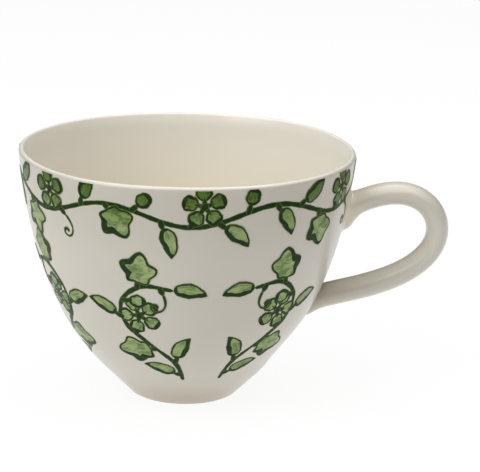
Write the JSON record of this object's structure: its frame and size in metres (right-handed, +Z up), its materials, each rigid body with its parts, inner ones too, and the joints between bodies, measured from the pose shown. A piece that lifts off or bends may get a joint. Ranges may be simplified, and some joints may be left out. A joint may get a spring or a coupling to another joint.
{
  "type": "stoneware cup",
  "caption": "Wide glazed stoneware cup with a rounded conical bowl, a small foot ring and an oval loop handle.",
  "frame": {"origin": "on the cup's axis, in the plane of the foot ring's flat underside, which is the table", "axes": "+Z up through the middle of the mouth, +X from the axis out through the middle of the handle, +Y across the handle"},
  "size_m": [0.1542, 0.12, 0.09],
  "materials": {
    "cream_glaze": "clear gloss glaze over cream stoneware",
    "bare_stoneware": "unglazed fired clay with fine grog",
    "green_outline": "dark green printed colour under the glaze",
    "green_fill": "streaky leaf green printed colour under the glaze"
  },
  "bodies": {
    "root": {"bowl": "cream_glaze", "foot_ring": "bare_stoneware", "handle": "cream_glaze", "upper_slip_joint": "cream_glaze", "lower_slip_joint": "cream_glaze"}
  },
  "joints": []
}
